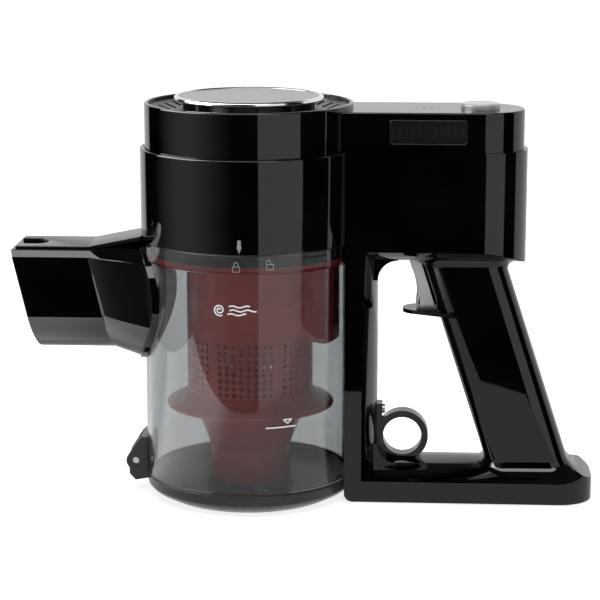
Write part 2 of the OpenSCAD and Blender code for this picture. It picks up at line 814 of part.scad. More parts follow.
module trigger_guard() {
    tip_r = 11;
    end_x = guard_x + 35.4;
    half = grip_half + 1.3;
    z0 = trigger_low - 1.4 - guard_h;
    color([0.05, 0.05, 0.055]) difference() {
        translate([0, 0, z0]) linear_extrude(guard_h) union() {
            translate([guard_x + tip_r, 0]) circle(r = tip_r);
            polygon([
                [guard_x + 6.2, -9.9], [guard_x + 27, -half + 0.4], [end_x - 2, -half], [end_x, -half + 1.4],
                [end_x, half - 1.4], [end_x - 2, half], [guard_x + 27, half - 0.4], [guard_x + 6.2, 9.9]]);
        }
        translate([grip_x0, 0, foot_top]) rotate([0, -grip_lean, 0])
            rounded_pillar(grip_w + 0.1, grip_half + 0.05, grip_corner, 0, box_low - foot_top + 20);
    }
}

// ---- hanging ring ----

ring_r = ring_hole_r + ring_band;
ring_x = post_mid_x + ring_r - 0.4;
ring_z = foot_top + ring_r - 2.4;

module hanging_ring() {
    color([0.05, 0.05, 0.055]) difference() {
        union() {
            rod_y(ring_x, ring_z, ring_r, -ring_depth / 2, ring_depth / 2);
            translate([post_mid_x - 4, -ring_depth / 2, foot_top - 4]) cube([14, ring_depth, 14]);
            translate([post_mid_x - 4, -ring_depth / 2, foot_top]) cube([7, ring_depth, 33]);
        }
        rod_y(ring_x, ring_z, ring_hole_r, -ring_depth, ring_depth);
        ring_seat();
        translate([post_mid_x - e, 0, foot_top + 29]) rotate([0, 90, 0]) cylinder(r = 1.6, h = 8);
    }
}

// The frame's outer form, a hair larger, that seats the ring
module ring_seat() {
    frame_form(-0.03);
    corner_webs();
}

module ring_screw() {
    z = foot_top + 29;
    color([0.3, 0.3, 0.32]) difference() {
        translate([post_mid_x + 3.02, 0, z]) rotate([0, 90, 0]) cylinder(r = 2.8, h = 1.6);
        translate([post_mid_x + 4, -0.4, z - 2]) cube([2, 0.8, 4]);
    }
}

// ---- bin ----

module bin_shell() {
    color([0.45, 0.5, 0.5, 0.35]) difference() {
        union() {
            rotate_extrude() polygon([
                [bin_in, bin_z], [bin_r, bin_z], [bin_r, collar_z], [collar_r, collar_z + 1], [collar_r, bin_top],
                [collar_in, bin_top], [collar_in, flange_z], [bin_in, flange_z]]);
            for (a = lug_angles)
                wedge(a - lug_half - 1, a + lug_half + 1, lock_ring_r + 0.5, collar_in + 0.5, bin_top - 3, bin_top - 1);
        }
        rod_x(duct_z, inlet_r, -bin_r - 5, -bin_r / 2);
    }
}

module u_section(g) {
    half = nozzle_half - g;
    union() {
        translate([u_z, 0]) circle(r = half);
        translate([u_z, -half]) square([nozzle_top - g - u_z, 2 * half]);
    }
}

// The U section along X: the outline's first axis becomes Z
module u_bar(g, x0, x1) {
    translate([x0, 0, 0]) rotate([0, 90, 0]) rotate([0, 0, 180]) linear_extrude(x1 - x0) u_section(g);
}

module nozzle() {
    thick = 0.6;
    color([0.06, 0.06, 0.065]) difference() {
        union() {
            u_bar(0, nozzle_x - e, bell_x + thick);
            hull() {
                u_bar(0, bell_x, bell_x + thick);
                rod_x(bell_z, bell_r, -bin_r + 4, -bin_r + 6, $fn = 64);
            }
        }
        u_bar(nozzle_wall, nozzle_x - 2 * e, bell_x + thick);
        hull() {
            u_bar(nozzle_wall, bell_x - 0.1, bell_x + thick);
            rod_x(bell_z, bell_r - nozzle_wall, -bin_r + 5, -bin_r + 8, $fn = 64);
        }
        cylinder(r = rim_r + seat_gap, h = bin_top + 10);
        translate([catch_x, -catch_half, nozzle_top - 2 * nozzle_wall]) cube([catch_len, 2 * catch_half, 10]);
        translate([nozzle_x, 0, nozzle_top]) rotate([0, -mouth_lean, 0])
            translate([-40, -40, -100]) cube([40, 80, 140]);
    }
}

module nozzle_strip() {
    half = catch_half + 4;
    x0 = catch_x - 2;
    color([0.08, 0.08, 0.085]) difference() {
        translate([x0, -half, nozzle_top + 0.02]) cube([bell_x - x0, 2 * half, strip_h]);
        translate([x0 - e, -catch_half, nozzle_top - e]) cube([catch_len + 2 + e, 2 * catch_half, 4]);
    }
}

module inlet_flange() {
    color([0.07, 0.07, 0.075]) difference() {
        intersection() {
            union() {
                tube(bin_r + seat_gap, rim_r, bell_z - bell_r - 5, collar_z - 0.2);
                tube(collar_r + seat_gap, rim_r, collar_z - 0.21, bin_top);
            }
            rod_x(bell_z, bell_r + 1.5, -rim_r - 5, 0);
        }
        rod_x(duct_z, inlet_r, -rim_r - 5, 0);
    }
}

module inlet_sleeve() {
    plate_x = sleeve_x0 + 3;
    color([0.1, 0.1, 0.105]) difference() {
        union() {
            rod_x(duct_z, sleeve_r, sleeve_x0, sleeve_x1);
            u_bar(nozzle_wall + 0.1, plate_x, plate_x + 2.5);
        }
        rod_x(duct_z, inlet_r, sleeve_x0 - e, sleeve_x1 + e);
    }
}

module hinge_bracket() {
    color([0.1, 0.1, 0.105]) difference() {
        union() {
            for (s = [-1, 1]) translate([0, s * (lug_in + lug_out) / 2, 0]) {
                deep(lug_out - lug_in) polygon([
                    [hinge_x - 4.6, hinge_z + 3.4], [-bin_r - 4.5, hinge_z + 13.5], [-bin_r + 3, hinge_z + 15],
                    [-bin_r + 3, bin_z + 0.3], [hinge_x, bin_z + 0.3]]);
                rod_y(hinge_x, hinge_z, 5.8, -(lug_out - lug_in) / 2, (lug_out - lug_in) / 2);
            }
            translate([-bin_r - 3.2, -lug_out, hinge_z + 7.5]) cube([6, 2 * lug_out, 7.4]);
        }
        translate([0, 0, bin_z - 4]) cylinder(r = bin_r + seat_gap, h = 60);
        rod_y(hinge_x, hinge_z, hinge_pin_r + seat_gap, -lug_out - e, lug_out + e);
    }
}

module hinge_pin() {
    color([0.7, 0.7, 0.72]) rod_y(hinge_x, hinge_z, hinge_pin_r, -lug_out + 1, lug_out - 1);
}

module latch_bracket() {
    color([0.1, 0.1, 0.105]) difference() {
        for (s = [-1, 1]) translate([bin_r - 2, s > 0 ? latch_half + 0.2 : -latch_half - 0.2 - latch_ear, latch_z - 4])
            cube([latch_x + 3.4 - bin_r, latch_ear, 8]);
        translate([0, 0, bin_z]) cylinder(r = bin_r + seat_gap, h = 40);
        rod_y(latch_x, latch_z, latch_pin_r + seat_gap, -10, 10);
    }
}

module latch_pin() {
    color([0.7, 0.7, 0.72]) rod_y(latch_x, latch_z, latch_pin_r, -latch_half - latch_ear, latch_half + latch_ear);
}

module door_latch() {
    foot = bin_r + slide_gap;
    color([0.12, 0.12, 0.13]) difference() {
        union() {
            deep(2 * latch_half) polygon([
                [foot, latch_z - 18], [foot + 1.6, latch_z - 18], [foot + 1.9, latch_z - 2], [latch_x + 1.4, latch_z],
                [latch_x + 1.4, latch_z + 14], [latch_x + 0.2, latch_z + 14], [latch_x - 0.2, latch_z + 1],
                [foot + 0.2, latch_z - 2]]);
            rod_y(latch_x, latch_z, 1.6, -latch_half, latch_half);
        }
        rod_y(latch_x, latch_z, latch_pin_r + run_gap, -10, 10);
    }
}

// ---- cyclone insert ----

module shroud() {
    inner = shroud_r - shroud_wall;
    band_top = band_z + (hole_rows - 1) * row_pitch;
    color([0.5, 0.1, 0.13]) difference() {
        union() {
            tube(inner, shroud_r, skirt_z + 10, flange_z + flange_t);
            tube(inner, bin_in - slide_gap, flange_z, flange_z + flange_t);
        }
        for (g = [0:hole_groups - 1], c = [0:hole_cols - 1], row = [0:hole_rows - 1])
            rotate([0, 0, (g + 0.5) * 360 / hole_groups + (c - (hole_cols - 1) / 2) * hole_step])
                translate([0, 0, band_z + row * row_pitch]) rod_x(0, hole_r, inner - e, shroud_r + e, $fn = 16);
    }
}

module cyclone_cone() {
    wall = 2;
    color([0.5, 0.12, 0.14]) rotate_extrude() polygon([
        [shroud_r - 6, skirt_z + 9.98], [shroud_r + 0.6, skirt_z + 9.98], [skirt_r - 2, skirt_z + 3],
        [skirt_r, skirt_z + 1.2], [skirt_r, skirt_z], [skirt_r - 2, skirt_z],
        [tube_r + 8, skirt_z - 4], [tube_r + 6, skirt_z - 10], [tube_r + 0.5, 30.02],
        [tube_r + 0.5 - wall, 30.02], [tube_r + 6 - wall, skirt_z - 9.6], [shroud_r - 7, skirt_z + 4]]);
}

module dust_tube() {
    color([0.52, 0.14, 0.15]) tube(tube_r - 2, tube_r, floor_z + slide_gap, 30);
}

module guide_vane() {
    z0 = flange_z - 48;
    half_angle = 32;
    outer = shroud_r + 16;
    color([0.45, 0.1, 0.12]) difference() {
        wedge(-half_angle, half_angle, shroud_r + 0.05, outer, z0, flange_z - 0.05);
        wedge(-half_angle + 2.5, half_angle - 2.5, shroud_r - 1, outer - 2, z0 + 2, flange_z + e);
    }
}

module pre_filter() {
    z0 = skirt_z + 32;
    color([0.85, 0.85, 0.82]) union() {
        tube(shroud_r - 14, shroud_r - shroud_wall - 1, z0, flange_z - 6);
        translate([0, 0, z0]) cylinder(r = shroud_r - shroud_wall - 1, h = 3);
        tube(shroud_r - 12, shroud_r + 6, flange_z + flange_t + 0.05, flange_z + flange_t + 2);
        tube(shroud_r - 12, shroud_r - shroud_wall - 0.5, flange_z - 7, flange_z + flange_t + 1);
    }
}

// ---- door ----

module door_pan() {
    rim_z = door_h - 1.2;
    bevel_z = rim_z - door_rim_h;
    inner_foot = door_foot_r - 1.2;
    color([0.16, 0.17, 0.17]) difference() {
        union() {
            rotate_extrude() polygon([
                [0, 0], [door_foot_r, 0], [bin_r - 2.6, bevel_z - 2.4], [bin_r - 0.4, bevel_z], [bin_r, bevel_z + 1.6],
                [bin_r, rim_z], [bin_r - door_wall, rim_z], [bin_r - door_wall, bevel_z + 0.4],
                [inner_foot, door_wall], [0, door_wall]]);
            translate([0, 0, door_wall - 0.5]) cylinder(r = 8, h = floor_z - 2.4 - door_wall + 0.45);
            rod_y(hinge_x, hinge_z, knuckle_r, -lug_in + 0.4, lug_in - 0.4);
            deep(2 * lug_in - 0.8) polygon([
                [hinge_x - knuckle_r, hinge_z], [hinge_x - knuckle_r + 0.4, rim_z - 3], [hinge_x - 1, bevel_z - 1],
                [-bin_r + 1.6, bevel_z + 0.6], [-bin_r + 1.6, rim_z - 0.2], [-bin_r - 1.2, rim_z - 0.2],
                [-bin_r - 1.2, hinge_z]]);
        }
        rod_y(hinge_x, hinge_z, hinge_pin_r + run_gap, -lug_out, lug_out);
    }
}

module door_liner() {
    low = floor_z - 2.4;
    rim = bin_r - door_wall - 0.15;
    color([0.2, 0.21, 0.21]) union() {
        rotate_extrude() polygon([
            [0, low], [door_foot_r - 2, low], [rim, door_h - 3.6], [rim, door_h - 1.4],
            [rim - 2, door_h - 1.2], [door_foot_r - 1, floor_z], [0, floor_z]]);
        tube(tube_r + 1, tube_r + 2.8, floor_z - 0.5, floor_z + 3.5);
    }
}

module door_seal() {
    color([0.08, 0.08, 0.08]) tube(bin_r - door_wall + 0.1, bin_r - 0.3, door_h - 1.18, door_h - 0.2);
}

barrel_housing();
bayonet_ring();
exhaust_grille();
motor_deck();
motor_case();
motor_mounts();
motor_bearings();
stator();
frame_front_shell();
frame_rear_shell();
housing_screws();
foot_pads();
box_cover();
vent_grille_front();
vent_grille_rear();
status_lights();
circuit_board();
battery_cells();
battery_holder();
charge_jack();
trigger_guard();
trigger_pin();
trigger_spring();
trigger_switch();
hanging_ring();
ring_screw();
motor_shaft();
impeller();
rotor_core();
cap_frame();
cap_disc();
cap_rim();
exhaust_filter();
trigger();
power_button();
button_spring();
bin_shell();
nozzle();
nozzle_strip();
inlet_flange();
inlet_sleeve();
hinge_bracket();
hinge_pin();
latch_bracket();
latch_pin();
shroud();
cyclone_cone();
dust_tube();
guide_vane();
pre_filter();
door_pan();
door_liner();
door_seal();
door_latch();
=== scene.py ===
import json
import math

import bmesh
import bpy
import numpy as np
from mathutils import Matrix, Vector


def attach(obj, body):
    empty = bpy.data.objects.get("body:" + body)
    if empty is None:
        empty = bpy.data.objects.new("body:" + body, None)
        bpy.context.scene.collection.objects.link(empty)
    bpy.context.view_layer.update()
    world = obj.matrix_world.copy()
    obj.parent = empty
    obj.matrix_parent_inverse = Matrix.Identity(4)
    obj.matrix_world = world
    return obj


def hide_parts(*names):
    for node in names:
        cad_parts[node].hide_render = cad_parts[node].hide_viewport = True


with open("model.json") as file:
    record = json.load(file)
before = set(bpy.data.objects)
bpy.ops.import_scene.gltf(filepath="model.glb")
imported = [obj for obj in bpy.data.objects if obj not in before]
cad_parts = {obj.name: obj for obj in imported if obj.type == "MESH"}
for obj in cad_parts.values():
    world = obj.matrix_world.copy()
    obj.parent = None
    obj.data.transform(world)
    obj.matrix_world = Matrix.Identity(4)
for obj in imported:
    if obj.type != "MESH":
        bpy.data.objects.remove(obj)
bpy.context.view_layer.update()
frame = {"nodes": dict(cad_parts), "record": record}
cadNodes = frame["nodes"]
nodeBody = {name: body for body, names in frame["record"]["behaviour"]["bodies"].items() for name in names}
scene = bpy.context.scene
scene.view_settings.view_transform = "Standard"
mm = 0.001
print("frame loaded:", len(cadNodes), "nodes")

cameraLook = {
    "azimuth": 3.401, "pitch": 11.829, "distance": 1.29178, "lens": 128.508,
    "target": (0.03027, 0.0, 0.11804),
}
# near: the stretch of floor that shows in glossy faces, as low x, high x, low y, high y
floorLook = {"near": (-0.45, 0.5, -0.3, 0.45), "far": 14.0}
# how white the air is on each side, with angles in degrees round from the front towards +X
airLook = {
    "back": 0.88, "rightBack": 95, "leftBack": 134, "band": 0.95, "bandFrom": 13.4, "bandTo": 61.4,
    "glow": 0.5, "glowFrom": 8, "glowPeak": 66, "glowTo": 114, "top": 0.06, "topFrom": 34, "topTo": 46,
}
# a lamp that lights matt surfaces isn't seen in glossy ones, and the other way round
lampLook = {
    "topLight": {"at": (0.0, 0.1, 1.6), "size": (1.8, 1.8), "power": 27, "matt": True},
    "frontPanel": {"at": (-0.15, -0.82, 1.16), "size": (1.9, 0.5), "power": 15, "matt": False},
    "leftPanel": {"at": (-1.1, -0.2, 0.75), "size": (1.3, 1.1), "power": 42, "matt": False},
}


def aim(thing, place, target):
    look = Vector(target) - Vector(place)
    thing.location = place
    thing.rotation_mode = "QUATERNION"
    thing.rotation_quaternion = look.to_track_quat("-Z", "Y")


def makeCamera(look):
    turn, pitch = math.radians(look["azimuth"]), math.radians(look["pitch"])
    back = np.array([math.sin(turn) * math.cos(pitch), -math.cos(turn) * math.cos(pitch), math.sin(pitch)])
    data = bpy.data.cameras.new("studioCamera")
    data.lens, data.sensor_width = look["lens"], 36
    data.clip_start, data.clip_end = 0.05, 60
    camera = bpy.data.objects.new("studioCamera", data)
    scene.collection.objects.link(camera)
    aim(camera, np.array(look["target"]) + back * look["distance"], look["target"])
    scene.camera = camera


# A chain of nodes is written as calc("ADD", a, b): each operand is a socket or a number.
def calc(tree, operation, a, b=0.0, c=0.0):
    node = tree.nodes.new("ShaderNodeMath")
    node.operation = operation
    for socket, value in zip(node.inputs, (a, b, c)):
        if isinstance(value, (int, float)):
            socket.default_value = value
        else:
            tree.links.new(value, socket)
    return node.outputs[0]


# A value that rises smoothly from 0 at start to 1 at end.
def rise(tree, value, start, end, low=0.0, high=1.0):
    node = tree.nodes.new("ShaderNodeMapRange")
    node.interpolation_type = "SMOOTHSTEP"
    tree.links.new(value, node.inputs["Value"])
    for name, number in (("From Min", start), ("From Max", end), ("To Min", low), ("To Max", high)):
        node.inputs[name].default_value = number
    return node.outputs["Result"]


# Air: white behind and above, dark in front, one sharp white band on the right and a soft one on the left.
def makeAir(look):
    world = bpy.data.worlds.new("studioAir")
    scene.world = world
    world.use_nodes = True
    tree = world.node_tree
    split = tree.nodes.new("ShaderNodeSeparateXYZ")
    tree.links.new(tree.nodes.new("ShaderNodeTexCoord").outputs["Generated"], split.inputs[0])
    x, y, z = split.outputs
    degree = 180 / math.pi
    side = calc(tree, "MULTIPLY", calc(tree, "ARCTAN2", x, calc(tree, "MULTIPLY", y, -1.0)), degree)
    left = calc(tree, "MULTIPLY", side, -1.0)
    height = calc(tree, "MULTIPLY", calc(tree, "ARCSINE", z), degree)
    band = calc(tree, "MULTIPLY", rise(tree, side, look["bandFrom"], look["bandFrom"] + 0.8),
                rise(tree, side, look["bandTo"], look["bandTo"] + 0.8, 1.0, 0.0))
    glow = calc(tree, "MULTIPLY", rise(tree, left, look["glowFrom"], look["glowPeak"]),
                rise(tree, left, look["glowPeak"] + 2, look["glowTo"], 1.0, 0.0))
    back = calc(tree, "ADD", rise(tree, side, look["rightBack"], look["rightBack"] + 1.5),
                rise(tree, left, look["leftBack"], look["leftBack"] + 6))
    around = calc(tree, "MULTIPLY", back, look["back"])
    around = calc(tree, "MULTIPLY_ADD", band, look["band"], around)
    around = calc(tree, "MULTIPLY_ADD", glow, look["glow"], around)
    above = rise(tree, height, look["topFrom"], look["topTo"])
    below = calc(tree, "MULTIPLY", around, calc(tree, "SUBTRACT", 1.0, above))
    total = calc(tree, "MULTIPLY_ADD", above, look["top"], below)
    tree.links.new(total, tree.nodes["Background"].inputs["Strength"])
    tree.nodes["Background"].inputs["Color"].default_value = (1.0, 0.995, 0.985, 1)


def makeLamps(looks):
    for name, look in looks.items():
        data = bpy.data.lights.new(name, "AREA")
        data.shape, data.size, data.size_y = "RECTANGLE", *look["size"]
        data.energy = look["power"]
        lamp = bpy.data.objects.new(name, data)
        scene.collection.objects.link(lamp)
        aim(lamp, look["at"], (0.03, 0, 0.12))
        lamp.visible_camera = lamp.visible_transmission = False
        lamp.visible_diffuse, lamp.visible_glossy = look["matt"], not look["matt"]


# The floor is a wide plane, with a darker table top over its middle that only glossy faces pick up.
def makeFloor(look):
    far = look["far"]
    planes = (("floorWide", (-far, far, -far, far), "floor"), ("floorNear", look["near"], "tableTop"))
    for name, box, finish in planes:
        low, high, front, rear = box
        mesh = bpy.data.meshes.new(name)
        corners = [(low, front, 0), (high, front, 0), (high, rear, 0), (low, rear, 0)]
        mesh.from_pydata(corners, [], [(0, 1, 2, 3)])
        floor = bpy.data.objects.new(name, mesh)
        scene.collection.objects.link(floor)
        near = name == "floorNear"
        floor.visible_glossy = near
        for flag in ("visible_camera", "visible_diffuse", "visible_transmission", "visible_shadow"):
            setattr(floor, flag, not near)
        mesh.materials.append(stageFinishes[finish])


def newMaterial(name):
    material = bpy.data.materials.new(name)
    material.use_nodes = True
    tree = material.node_tree
    return material, tree, tree.nodes["Principled BSDF"]


# Object coordinates scaled along each axis, in marks per metre.
def place(tree, scale=(1, 1, 1)):
    mapping = tree.nodes.new("ShaderNodeMapping")
    mapping.inputs["Scale"].default_value = scale
    tree.links.new(tree.nodes.new("ShaderNodeTexCoord").outputs["Object"], mapping.inputs["Vector"])
    return mapping.outputs[0]


def noise(tree, vector, scale, detail=2.0, rough=0.5):
    node = tree.nodes.new("ShaderNodeTexNoise")
    node.inputs["Scale"].default_value = scale
    node.inputs["Detail"].default_value = detail
    node.inputs["Roughness"].default_value = rough
    tree.links.new(vector, node.inputs["Vector"])
    return node.outputs["Fac"]


def mixColour(tree, share, first, second):
    node = tree.nodes.new("ShaderNodeMix")
    node.data_type = "RGBA"
    tree.links.new(share, node.inputs["Factor"])
    node.inputs[6].default_value = (*first, 1)
    node.inputs[7].default_value = (*second, 1)
    return node.outputs[2]


def bump(tree, height, depth, shader):
    node = tree.nodes.new("ShaderNodeBump")
    node.inputs["Distance"].default_value = depth
    node.inputs["Strength"].default_value = 1.0
    tree.links.new(height, node.inputs["Height"])
    tree.links.new(node.outputs[0], shader.inputs["Normal"])


# Moulded plastic: cloudy colour, smudges and rubbed lines in the gloss, and a fine skin in the bump.
def mouldedPlastic(name, look):
    material, tree, shader = newMaterial(name)
    here = place(tree)
    cloud = noise(tree, here, look.get("cloud", 30), 3)
    colour = mixColour(tree, rise(tree, cloud, 0.35, 0.65), look["dark"], look["pale"])
    tree.links.new(colour, shader.inputs["Base Color"])
    smudge = rise(tree, noise(tree, here, 18, 5, 0.6), 0.45, 0.75, 0, look["smudge"])
    hair = noise(tree, place(tree, (260, 260, 9)), 6, 1)
    rub = rise(tree, hair, 0.70, 0.78, 0, look["rub"])
    total = calc(tree, "ADD", calc(tree, "ADD", smudge, rub), look["rough"])
    tree.links.new(total, shader.inputs["Roughness"])
    bump(tree, noise(tree, here, look["grain"], 2), look["grainDepth"] * mm, shader)
    shader.inputs["IOR"].default_value = look.get("ior", 1.5)
    shader.inputs["Specular IOR Level"].default_value = look.get("specular", 0.5)
    shader.inputs["Coat Weight"].default_value = look.get("coat", 0.0)
    shader.inputs["Coat Roughness"].default_value = 0.03
    return material


# Metal: brush lines are rings about the Z axis, run along X, or are plain noise. Colour and gloss follow.
def workedMetal(name, look):
    material, tree, shader = newMaterial(name)
    here = place(tree)
    if look["brush"] == "round":
        length = tree.nodes.new("ShaderNodeVectorMath")
        length.operation = "LENGTH"
        tree.links.new(place(tree, (1, 1, 0)), length.inputs[0])
        joined = tree.nodes.new("ShaderNodeCombineXYZ")
        tree.links.new(calc(tree, "MULTIPLY", length.outputs["Value"], look["lines"]), joined.inputs[0])
        lines = noise(tree, joined.outputs[0], 1, 3, 0.7)
    elif look["brush"] == "along":
        lines = noise(tree, place(tree, (8, look["lines"], look["lines"])), 1, 3, 0.7)
    else:
        lines = noise(tree, here, look["lines"], 3, 0.6)
    colour = mixColour(tree, rise(tree, lines, 0.3, 0.7), look["dark"], look["pale"])
    tree.links.new(colour, shader.inputs["Base Color"])
    rough = calc(tree, "MULTIPLY_ADD", lines, look["roughSpread"], look["rough"])
    tree.links.new(rough, shader.inputs["Roughness"])
    shader.inputs["Metallic"].default_value = 1.0
    bump(tree, lines, look["depth"] * mm, shader)
    return material


# Clear smoked plastic: tinted and slightly clouded, with fine rubbed marks.
def smokedPlastic(name, look):
    material, tree, shader = newMaterial(name)
    here = place(tree)
    tint = mixColour(tree, rise(tree, noise(tree, here, 14, 2), 0.3, 0.7), look["dark"], look["pale"])
    tree.links.new(tint, shader.inputs["Base Color"])
    marks = rise(tree, noise(tree, place(tree, (40, 40, 400)), 4, 2), 0.68, 0.8, 0, look["rub"])
    tree.links.new(calc(tree, "ADD", marks, look["rough"]), shader.inputs["Roughness"])
    shader.inputs["Transmission Weight"].default_value = 1.0
    shader.inputs["IOR"].default_value = look["ior"]
    return material


# Pleated, woven or open-cell stuff: a matt colour with a wave or a cell pattern in colour and bump.
def softStuff(name, look):
    material, tree, shader = newMaterial(name)
    cells = tree.nodes.new("ShaderNodeTexVoronoi")
    cells.inputs["Scale"].default_value = look["cells"]
    tree.links.new(place(tree), cells.inputs["Vector"])
    pattern = cells.outputs["Distance"]
    colour = mixColour(tree, rise(tree, pattern, 0.1, 0.6), look["dark"], look["pale"])
    tree.links.new(colour, shader.inputs["Base Color"])
    shader.inputs["Roughness"].default_value = look["rough"]
    shader.inputs["Metallic"].default_value = look.get("metal", 0.0)
    bump(tree, pattern, look["depth"] * mm, shader)
    return material


# The floor: a pale colour with a little light of its own, which grows towards the front left.
def evenFloor(name, look):
    material, tree, shader = newMaterial(name)
    shader.inputs["Base Color"].default_value = (*look["colour"], 1)
    shader.inputs["Roughness"].default_value = 0.8
    shader.inputs["Specular IOR Level"].default_value = 0.0
    shader.inputs["Emission Color"].default_value = (1, 1, 1, 1)
    split = tree.nodes.new("ShaderNodeSeparateXYZ")
    tree.links.new(place(tree), split.inputs[0])
    low, high = look["glow"]
    left = rise(tree, split.outputs[0], -0.06, -0.17)
    front = rise(tree, split.outputs[1], 0.05, -0.02)
    tree.links.new(calc(tree, "MULTIPLY_ADD", calc(tree, "MULTIPLY", left, front), high - low, low),
                   shader.inputs["Emission Strength"])
    return material


plasticLooks = {
    "gloss_black": {"dark": (0.0006, 0.0007, 0.0008), "pale": (0.0016, 0.0018, 0.002), "rough": 0.025,
                    "smudge": 0.05, "rub": 0.05, "grain": 900, "grainDepth": 0.0006},
    "satin_black": {"dark": (0.004, 0.0043, 0.0046), "pale": (0.008, 0.0085, 0.009), "rough": 0.2,
                    "smudge": 0.1, "rub": 0.08, "grain": 2600, "grainDepth": 0.006},
    "vent_grey": {"dark": (0.05, 0.052, 0.053), "pale": (0.085, 0.087, 0.088), "rough": 0.3,
                  "smudge": 0.1, "rub": 0.05, "grain": 2200, "grainDepth": 0.006},
    "door_grey": {"dark": (0.012, 0.0125, 0.0125), "pale": (0.018, 0.0185, 0.0185), "rough": 0.22,
                  "smudge": 0.08, "rub": 0.1, "grain": 3000, "grainDepth": 0.008},
    "cyclone_red": {"dark": (0.66, 0.042, 0.05), "pale": (0.8, 0.065, 0.07), "rough": 0.24,
                    "smudge": 0.12, "rub": 0.1, "grain": 1400, "grainDepth": 0.004},
    "rubber": {"dark": (0.006, 0.006, 0.0062), "pale": (0.012, 0.012, 0.0122), "rough": 0.62,
               "smudge": 0.1, "rub": 0.0, "grain": 4200, "grainDepth": 0.02},
    "light_pipe": {"dark": (0.02, 0.02, 0.021), "pale": (0.035, 0.035, 0.036), "rough": 0.12,
                   "smudge": 0.05, "rub": 0.0, "grain": 900, "grainDepth": 0.001},
    "mark_white": {"dark": (0.72, 0.73, 0.73), "pale": (0.82, 0.83, 0.83), "rough": 0.45, "smudge": 0.1,
                   "rub": 0.1, "grain": 5000, "grainDepth": 0.004},
    "mark_grey": {"dark": (0.2, 0.21, 0.22), "pale": (0.28, 0.29, 0.3), "rough": 0.4, "smudge": 0.1,
                  "rub": 0.1, "grain": 5000, "grainDepth": 0.004},
    "silver_paint": {"dark": (0.40, 0.41, 0.42), "pale": (0.50, 0.51, 0.52), "rough": 0.34,
                     "smudge": 0.08, "rub": 0.05, "grain": 5200, "grainDepth": 0.006, "coat": 0.4},
}
metalLooks = {
    "brushed_silver": {"brush": "round", "lines": 5200, "dark": (0.31, 0.31, 0.305),
                       "pale": (0.45, 0.445, 0.44), "rough": 0.22, "roughSpread": 0.16, "depth": 0.006},
    "chrome": {"brush": "none", "lines": 300, "dark": (0.8, 0.8, 0.8), "pale": (0.86, 0.86, 0.86),
               "rough": 0.1, "roughSpread": 0.08, "depth": 0.0008},
    "steel": {"brush": "along", "lines": 3000, "dark": (0.5, 0.5, 0.51), "pale": (0.62, 0.62, 0.63),
              "rough": 0.2, "roughSpread": 0.15, "depth": 0.003},
    "motor_metal": {"brush": "round", "lines": 2600, "dark": (0.42, 0.42, 0.43),
                    "pale": (0.55, 0.55, 0.56), "rough": 0.3, "roughSpread": 0.2, "depth": 0.004},
}
stuffLooks = {
    "copper_stack": {"cells": 900, "dark": (0.32, 0.12, 0.05), "pale": (0.6, 0.26, 0.12), "rough": 0.35,
                     "metal": 0.8, "depth": 0.1},
    "cell_wrap": {"cells": 300, "dark": (0.02, 0.12, 0.28), "pale": (0.03, 0.16, 0.34), "rough": 0.3,
                  "depth": 0.02},
    "board_green": {"cells": 420, "dark": (0.01, 0.10, 0.04), "pale": (0.02, 0.2, 0.08), "rough": 0.4,
                    "depth": 0.05},
    "filter_white": {"cells": 700, "dark": (0.5, 0.5, 0.48), "pale": (0.82, 0.82, 0.8), "rough": 0.9,
                     "depth": 0.3},
}
stageLooks = {
    "floor": {"colour": (0.8, 0.8, 0.8), "glow": (0.8, 0.8)},
    "tableTop": {"colour": (0.36, 0.36, 0.36), "glow": (0.24, 2.1)},
}
smokedLook = {
    "dark": (0.40, 0.412, 0.417), "pale": (0.43, 0.442, 0.447), "rough": 0.01, "rub": 0.08, "ior": 1.49,
}

finishes = {name: mouldedPlastic(name, look) for name, look in plasticLooks.items()}
finishes.update({name: workedMetal(name, look) for name, look in metalLooks.items()})
finishes.update({name: softStuff(name, look) for name, look in stuffLooks.items()})
finishes["smoke_clear"] = smokedPlastic("smoke_clear", smokedLook)
stageFinishes = {name: evenFloor(name, look) for name, look in stageLooks.items()}
print("materials made:", len(finishes))


# Each face joins row i, column j to its neighbours; either way may close on itself.
def gridFaces(rows, columns, closeRows, closeColumns):
    index = np.arange(rows * columns).reshape(rows, columns)
    down = np.roll(index, -1, 0)
    faces = np.stack([index, down, np.roll(down, -1, 1), np.roll(index, -1, 1)], -1)
    lastRow, lastColumn = rows if closeRows else rows - 1, columns if closeColumns else columns - 1
    return faces[:lastRow, :lastColumn].reshape(-1, 4)


# Points that coincide are joined, and faces are turned outwards.
def finishMesh(mesh, smooth=32):
    work = bmesh.new()
    work.from_mesh(mesh)
    bmesh.ops.remove_doubles(work, verts=work.verts, dist=2e-6)
    bmesh.ops.dissolve_degenerate(work, edges=work.edges, dist=1e-7)
    bmesh.ops.recalc_face_normals(work, faces=work.faces)
    work.to_mesh(mesh)
    work.free()
    mesh.shade_smooth()
    mesh.set_sharp_from_angle(angle=math.radians(smooth))
    return mesh


def addPiece(name, mesh, finish, body, replaced=()):
    piece = bpy.data.objects.new(name, mesh)
    scene.collection.objects.link(piece)
    mesh.materials.clear()
    mesh.materials.append(finishes[finish])
    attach(piece, body)
    if replaced:
        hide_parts(*replaced)
    return piece


# A grid of points in millimetres, rows by columns by three, as a mesh. Caps close its first and last row.
def gridMesh(name, grid, closeRows=False, closeColumns=True, caps=False, smooth=32):
    rows, columns = grid.shape[:2]
    faces = gridFaces(rows, columns, closeRows, closeColumns).tolist()
    if caps:
        faces += [list(range(columns)), list(range((rows - 1) * columns, rows * columns))]
    mesh = bpy.data.meshes.new(name)
    mesh.from_pydata((grid.reshape(-1, 3) * mm).tolist(), [], faces)
    return finishMesh(mesh, smooth)


